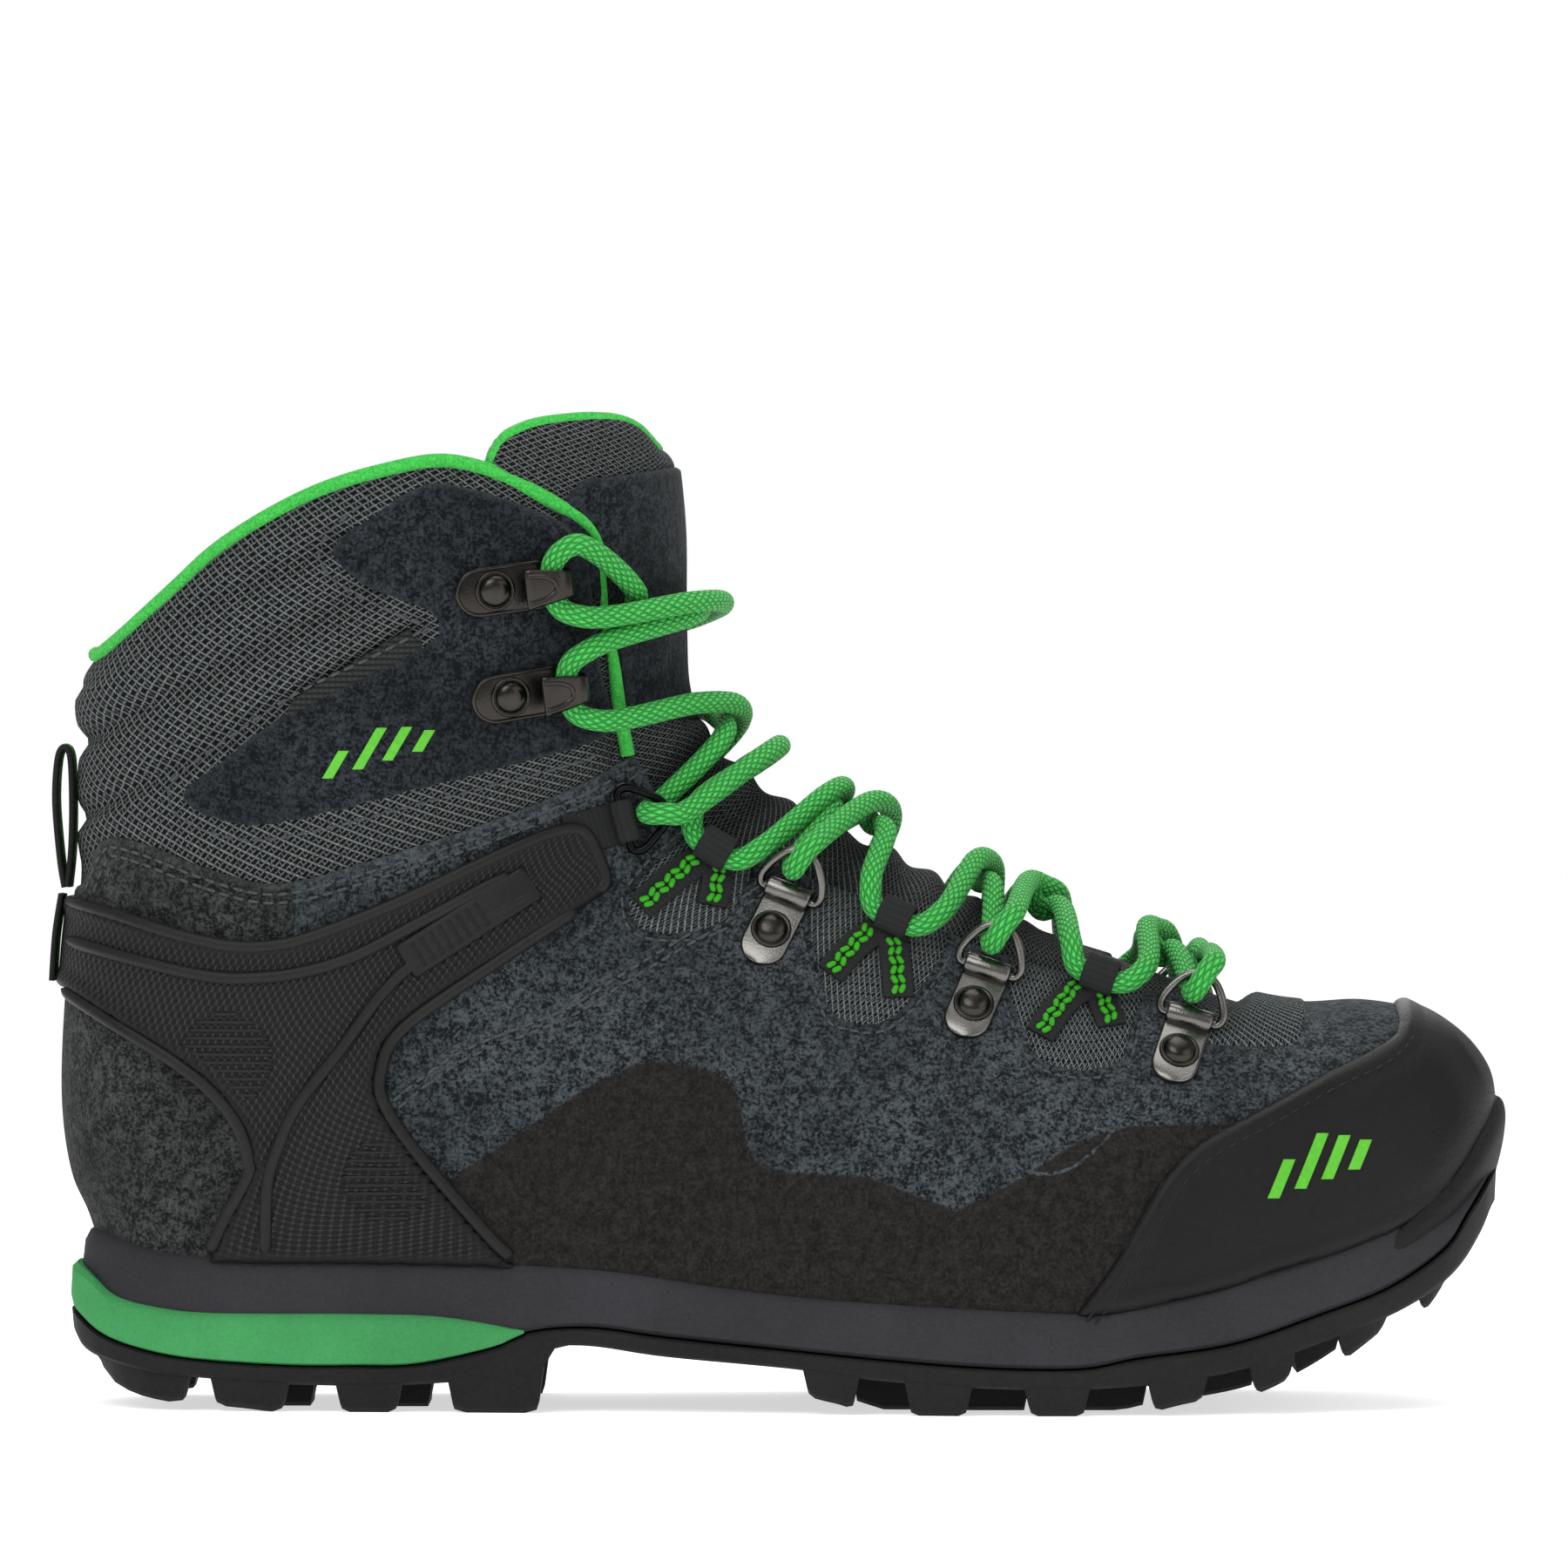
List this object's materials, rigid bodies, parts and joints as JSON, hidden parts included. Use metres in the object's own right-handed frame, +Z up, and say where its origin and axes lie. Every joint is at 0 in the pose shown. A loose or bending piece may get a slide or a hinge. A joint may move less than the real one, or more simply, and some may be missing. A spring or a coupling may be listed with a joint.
{
  "type": "hiking boot",
  "caption": "Mid-height lace-up hiking boot for the right foot with lugged sole, toe cap, heel stabiliser, lacing rings and hooks.",
  "frame": {"origin": "on the ground, under the middle of the boot's box", "axes": "+X to the toe, +Y to the inner side of the foot, +Z up"},
  "size_m": [0.3108, 0.112, 0.21],
  "materials": {
    "suede": "brushed slate suede",
    "heel_suede": "coarse dark suede",
    "mesh": "woven spacer mesh",
    "lining_fabric": "brushed green lining",
    "binding": "green piping",
    "lace_cord": "round braided cord",
    "webbing": "woven webbing",
    "toe_rubber": "smooth satin",
    "stabiliser_rubber": "embossed satin",
    "midsole_foam": "moulded foam",
    "wedge_foam": "moulded foam",
    "outsole_rubber": "moulded rubber",
    "board": "fibre board",
    "steel": "plain",
    "metal": "polished gunmetal",
    "black_wire": "gloss black"
  },
  "bodies": {
    "boot": {"outsole": "outsole_rubber", "midsole": "midsole_foam", "heel_wedge": "wedge_foam", "shank": "steel", "insole_board": "board", "footbed": "lining_fabric", "vamp": "suede", "quarter_lateral": "suede", "quarter_medial": "suede", "heel_panel": "heel_suede", "cuff": "mesh", "toe_cap": "toe_rubber", "heel_stabiliser": "stabiliser_rubber", "ankle_patch_lateral": "suede", "ankle_patch_medial": "suede", "collar_binding": "binding", "lining": "lining_fabric", "heel_counter": "board", "tongue": "mesh", "tongue_patch": "suede", "lace": "lace_cord", "pull_loop_tail": "webbing", "ring_clip_1_lateral": "metal", "ring_rivet_1_lateral": "metal", "lace_loop_1_lateral": "webbing", "ring_clip_2_lateral": "metal", "ring_rivet_2_lateral": "metal", "lace_loop_2_lateral": "webbing", "ring_clip_3_lateral": "metal", "ring_rivet_3_lateral": "metal", "lace_loop_3_lateral": "webbing", "hook_upper_lateral": "metal", "hook_rivet_upper_lateral": "metal", "hook_lower_lateral": "metal", "hook_rivet_lower_lateral": "metal", "ankle_strap_lateral": "webbing", "ring_clip_1_medial": "metal", "ring_rivet_1_medial": "metal", "lace_loop_1_medial": "webbing", "ring_clip_2_medial": "metal", "ring_rivet_2_medial": "metal", "lace_loop_2_medial": "webbing", "ring_clip_3_medial": "metal", "ring_rivet_3_medial": "metal", "lace_loop_3_medial": "webbing", "hook_upper_medial": "metal", "hook_rivet_upper_medial": "metal", "hook_lower_medial": "metal", "hook_rivet_lower_medial": "metal", "ankle_strap_medial": "webbing"},
    "tongue_top": {"tongue_top": "mesh"},
    "pull_loop": {"pull_loop": "webbing"},
    "d_ring_1_lateral": {"d_ring_1_lateral": "metal"},
    "d_ring_2_lateral": {"d_ring_2_lateral": "metal"},
    "d_ring_3_lateral": {"d_ring_3_lateral": "metal"},
    "ankle_ring_lateral": {"ankle_ring_lateral": "black_wire"},
    "d_ring_1_medial": {"d_ring_1_medial": "metal"},
    "d_ring_2_medial": {"d_ring_2_medial": "metal"},
    "d_ring_3_medial": {"d_ring_3_medial": "metal"},
    "ankle_ring_medial": {"ankle_ring_medial": "black_wire"}
  },
  "joints": [
    {"name": "tongue_fold", "type": "hinge", "parent": "boot", "child": "tongue_top", "pos_m": [-0.02242, 0, 0.18415], "axis": [0, 1, 0], "range_deg": [0, 25], "stiffness_Nm_per_rad": 0.06},
    {"name": "pull_loop_fold", "type": "hinge", "parent": "boot", "child": "pull_loop", "pos_m": [-0.15292, 0.00039, 0.1091], "axis": [0, -1, 0], "range_deg": [0, 50], "stiffness_Nm_per_rad": 0.01},
    {"name": "d_ring_1_lateral_swing", "type": "hinge", "parent": "boot", "child": "d_ring_1_lateral", "pos_m": [0.00171, -0.02728, 0.10878], "axis": [-0.9134, 0.1688, 0.3705], "range_deg": [-25, 6], "deforming": ["lace"]},
    {"name": "d_ring_2_lateral_swing", "type": "hinge", "parent": "boot", "child": "d_ring_2_lateral", "pos_m": [0.04369, -0.03232, 0.09303], "axis": [-0.9389, 0.1458, 0.3117], "range_deg": [-25, 6], "deforming": ["lace"]},
    {"name": "d_ring_3_lateral_swing", "type": "hinge", "parent": "boot", "child": "d_ring_3_lateral", "pos_m": [0.08617, -0.0329, 0.08279], "axis": [-0.9566, 0.0696, 0.2828], "range_deg": [-25, 6], "deforming": ["lace"]},
    {"name": "ankle_ring_lateral_swing", "type": "hinge", "parent": "boot", "child": "ankle_ring_lateral", "pos_m": [-0.03273, -0.02918, 0.12408], "axis": [-0.2598, 0.0517, 0.9643], "range_deg": [-25, 6], "deforming": ["lace"]},
    {"name": "d_ring_1_medial_swing", "type": "hinge", "parent": "boot", "child": "d_ring_1_medial", "pos_m": [0.00185, 0.02606, 0.10878], "axis": [0.9087, 0.1312, -0.3964], "range_deg": [-25, 6], "deforming": ["lace"]},
    {"name": "d_ring_2_medial_swing", "type": "hinge", "parent": "boot", "child": "d_ring_2_medial", "pos_m": [0.04373, 0.03058, 0.09311], "axis": [0.9364, 0.1469, -0.3186], "range_deg": [-25, 6], "deforming": ["lace"]},
    {"name": "d_ring_3_medial_swing", "type": "hinge", "parent": "boot", "child": "d_ring_3_medial", "pos_m": [0.08583, 0.03678, 0.08318], "axis": [0.9607, 0.1987, -0.1941], "range_deg": [-25, 6], "deforming": ["lace"]},
    {"name": "ankle_ring_medial_swing", "type": "hinge", "parent": "boot", "child": "ankle_ring_medial", "pos_m": [-0.03273, 0.03007, 0.1241], "axis": [0.2626, 0.06, -0.963], "range_deg": [-25, 6], "deforming": ["lace"]}
  ]
}
